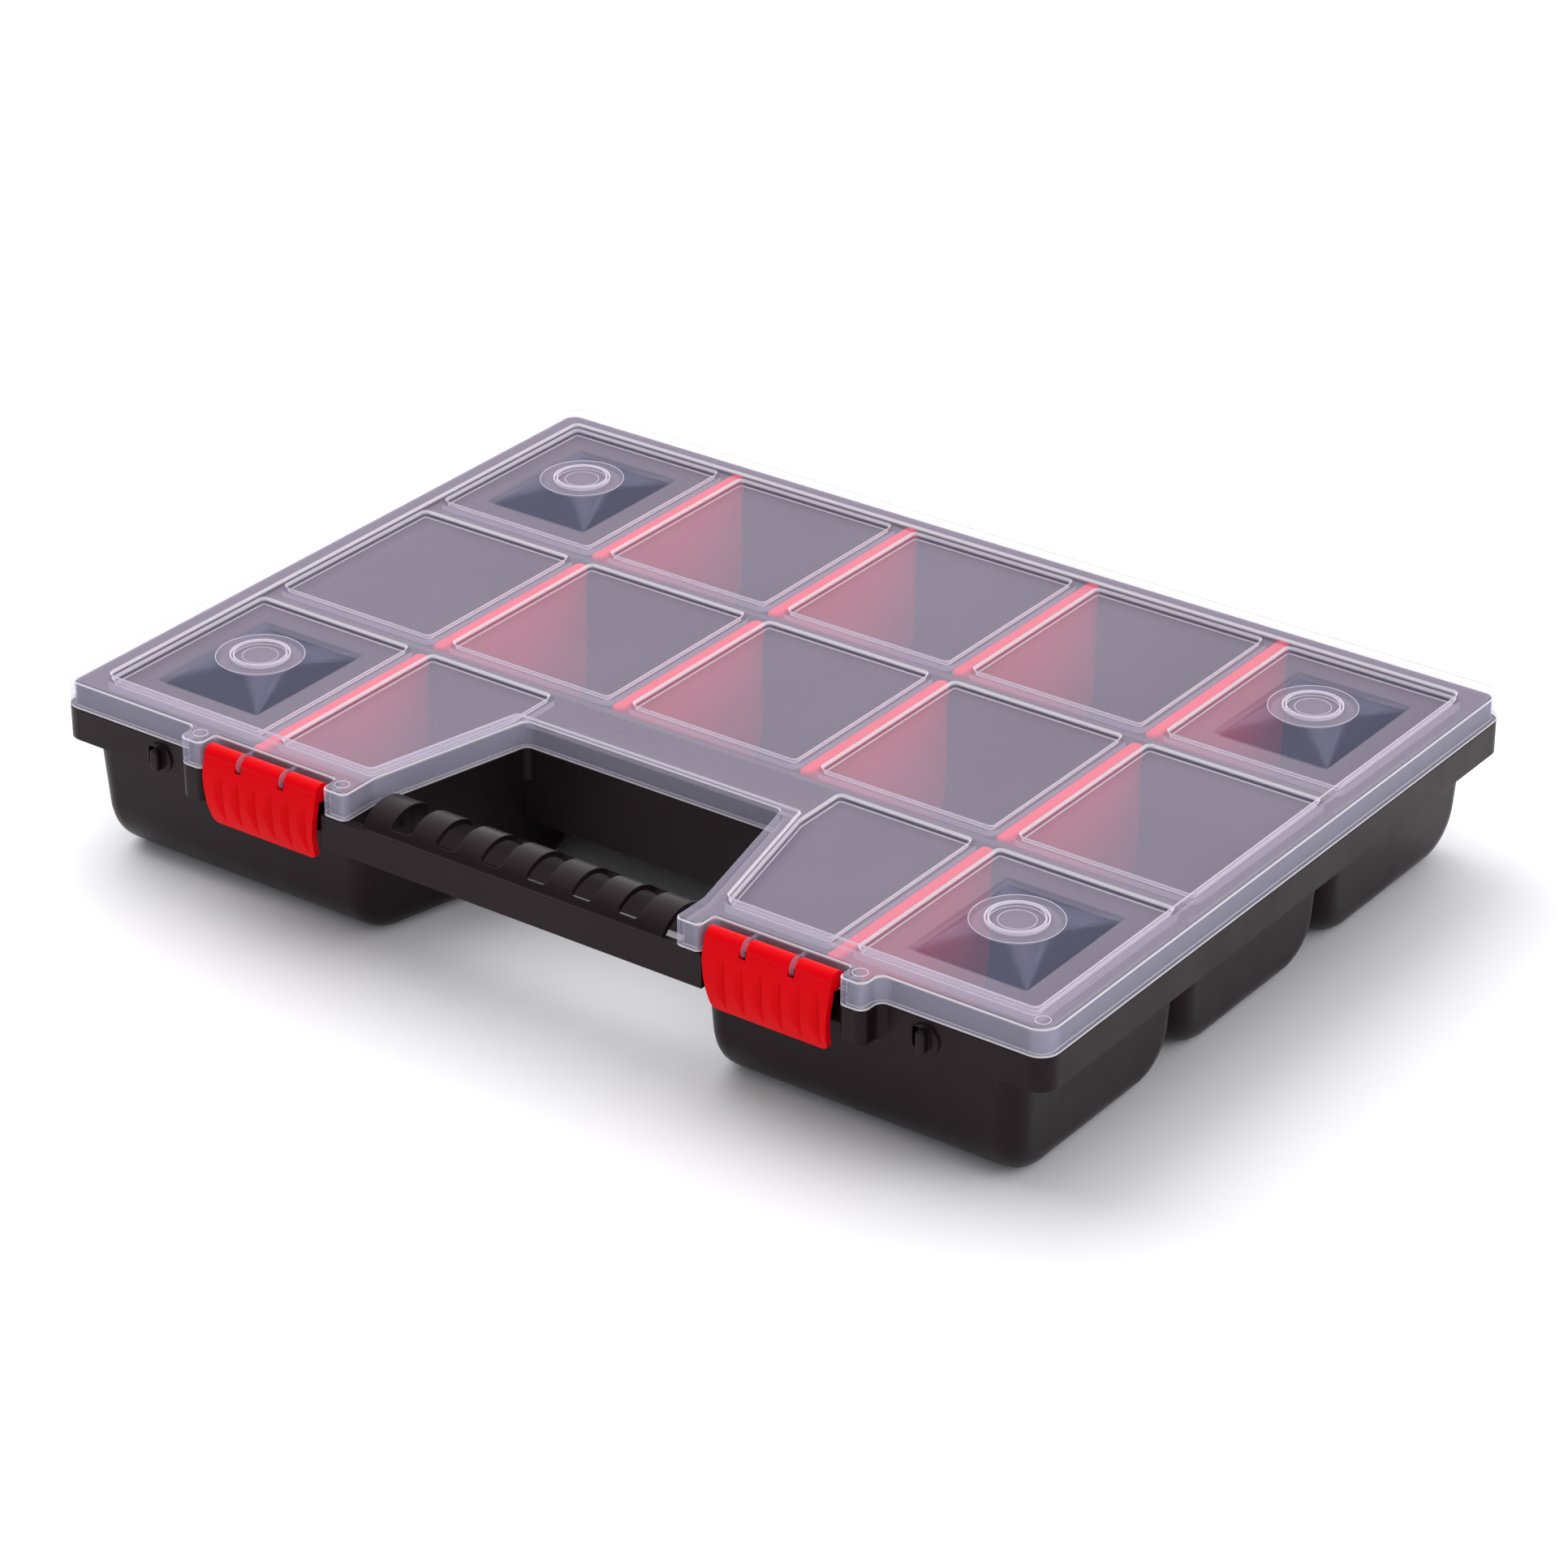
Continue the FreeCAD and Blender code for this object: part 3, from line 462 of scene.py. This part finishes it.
def pocket_edges(node, front, back):
    """The level edges where an upright face of the lid meets a level face that looks up.

    For each vertex on such an edge it lists the vertex at the other end, the place, and
    the step that sinks a bead of WIRE_R until it touches both faces from below.
    """
    mesh = bmesh.new()
    mesh.from_mesh(node.data)
    bmesh.ops.remove_doubles(mesh, verts=mesh.verts, dist=WELD)
    found = {}
    for edge in mesh.edges:
        if len(edge.link_faces) != 2:
            continue
        shallow, steep = sorted((face.normal for face in edge.link_faces), key=lambda n: -n.z)
        start, end = (vert.co for vert in edge.verts)
        sloping = abs(start.z - end.z) > WELD
        if shallow.z < FLAT_NORMAL_Z or abs(steep.z) > STEEP_NORMAL_Z or sloping:
            continue
        if front < start.y < back:
            sink = (shallow + steep) * (WIRE_R / (1 + shallow.dot(steep)))
            for vert, other in (edge.verts, reversed(edge.verts)):
                found.setdefault(vert.index, []).append((other.index, vert.co.copy(), sink))
    mesh.free()
    return found


def closed_loops(found):
    """Walks the edges into closed loops of points, each sunk just under the surface."""
    loops, seen = [], set()
    for first in sorted(found):
        loop, here, last = [], first, None
        while here not in seen and len(found[here]) == 2:
            seen.add(here)
            (a, place, sink_a), (b, _, sink_b) = found[here]
            loop.append(place - (sink_a + sink_b) / 2)
            here, last = (b if a == last else a), here
        if here == first and len(loop) > 2:
            loops.append(loop)
    return loops


def add_marks():
    """Painted highlight beads along pocket edges, ejector circles on the border, and two fine
    rings on each boss.
    """
    finish = mark_and_highlight_finish()
    low, high = (Vector(corner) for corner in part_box("lid"))
    edges = pocket_edges(frame["nodes"]["lid"], low.y + BEADS_FROM_FRONT, high.y - BEADS_FROM_BACK)
    add_beads("lid_pocket_edge_highlights", closed_loops(edges), finish, WIRE_R)
    for place, (across, from_front) in EJECTOR_MARKS.items():
        centre = Vector((across, low.y + from_front, high.z - RIM_DROP))
        add_beads("ejector_mark_" + place, [circle(centre, MARK_R)], finish, FINE_R)
    for side, x in (("left", low.x + BOSS_FROM_SIDE), ("right", high.x - BOSS_FROM_SIDE)):
        for row, row_name in enumerate(("front", "back")):
            y = low.y + BOSS_FROM_FRONT + row * BOSS_ROW_PITCH
            centre = Vector((x, y, high.z - BOSS_FLOOR_DROP))
            rim = centre + Vector((0, 0, BOSS_FLOOR_DROP - BOSS_RIM_DROP - FINE_R))
            rings = [circle(centre, BOSS_MARK_R), circle(rim, BOSS_RIM_R - FINE_R, BOSS_RIM_STEPS)]
            add_beads("boss_ring_%s_%s" % (side, row_name), rings, finish, FINE_R)


# ---------------------------------------------------------------- surroundings
def add_floor():
    bpy.ops.mesh.primitive_plane_add(size=FLOOR_SIZE, location=(0, 0, cad_box[0][2]))
    floor = bpy.context.object
    floor.name = "floor"
    floor.data.materials.append(floor_paint())


def add_area(name, place, aim, size, power):
    light = bpy.data.lights.new(name, "AREA")
    light.shape = "DISK"
    light.size = size
    light.energy = power
    lamp = bpy.data.objects.new(name, light)
    lamp.location = place
    lamp.visible_glossy = False
    lamp.rotation_euler = (Vector(aim) - Vector(place)).to_track_quat("-Z", "Y").to_euler()
    bpy.context.scene.collection.objects.link(lamp)


def sky_share(tree, place, toward, turn, strength):
    """A brightness that changes with how far a direction in the sky turns toward another."""
    turned = tree.nodes.new("ShaderNodeVectorMath")
    turned.operation = "DOT_PRODUCT"
    turned.inputs[1].default_value = toward
    tree.links.new(place.outputs["Generated"], turned.inputs[0])
    share = tree.nodes.new("ShaderNodeMapRange")
    share.interpolation_type = "SMOOTHSTEP"
    share.inputs["From Min"].default_value, share.inputs["From Max"].default_value = turn
    share.inputs["To Min"].default_value, share.inputs["To Max"].default_value = strength
    tree.links.new(turned.outputs["Value"], share.inputs["Value"])
    return share.outputs["Result"]


def add_sky():
    """A pale room, brighter on the right, and brightest behind the case."""
    world = bpy.data.worlds.new("studio")
    world.use_nodes = True
    tree = world.node_tree
    background = tree.nodes["Background"]
    background.inputs["Color"].default_value = rgba(SKY)
    place = tree.nodes.new("ShaderNodeTexCoord")
    room = sky_share(tree, place, Vector((1, 0, 0)), (-1.0, 1.0), (SKY_LEFT, SKY_RIGHT))
    glow = sky_share(tree, place, mirror_of(camera_side()), GLOW_TURN, (0.0, SKY_GLOW))
    total = tree.nodes.new("ShaderNodeMath")
    tree.links.new(room, total.inputs[0])
    tree.links.new(glow, total.inputs[1])
    tree.links.new(total.outputs["Value"], background.inputs["Strength"])
    bpy.context.scene.world = world


def add_light():
    add_sky()
    add_area("key", KEY_PLACE, KEY_AIM, KEY_SIZE, KEY_POWER)
    add_area("side", SIDE_PLACE, SIDE_AIM, SIDE_SIZE, SIDE_POWER)


def camera_side():
    """Unit vector from the case towards the camera."""
    azimuth, elevation = math.radians(AZIMUTH), math.radians(ELEVATION)
    level = math.cos(elevation)
    return Vector((math.sin(azimuth) * level, -math.cos(azimuth) * level, math.sin(elevation)))


def mirror_of(direction):
    """Where a level surface sends light that comes from this direction."""
    return Vector((-direction.x, -direction.y, direction.z))


def add_camera():
    back = camera_side()
    target = (Vector(cad_box[0]) + Vector(cad_box[1])) / 2 + TARGET_SHIFT
    data = bpy.data.cameras.new("camera")
    data.lens = LENS
    data.sensor_width = SENSOR_WIDTH
    camera = bpy.data.objects.new("camera", data)
    camera.location = target + back * DISTANCE
    camera.rotation_euler = back.to_track_quat("Z", "Y").to_euler()
    bpy.context.scene.collection.objects.link(camera)
    bpy.context.scene.camera = camera


dress_nodes()
add_marks()
add_floor()
add_light()
add_camera()

bpy.context.scene.view_settings.view_transform = "Standard"
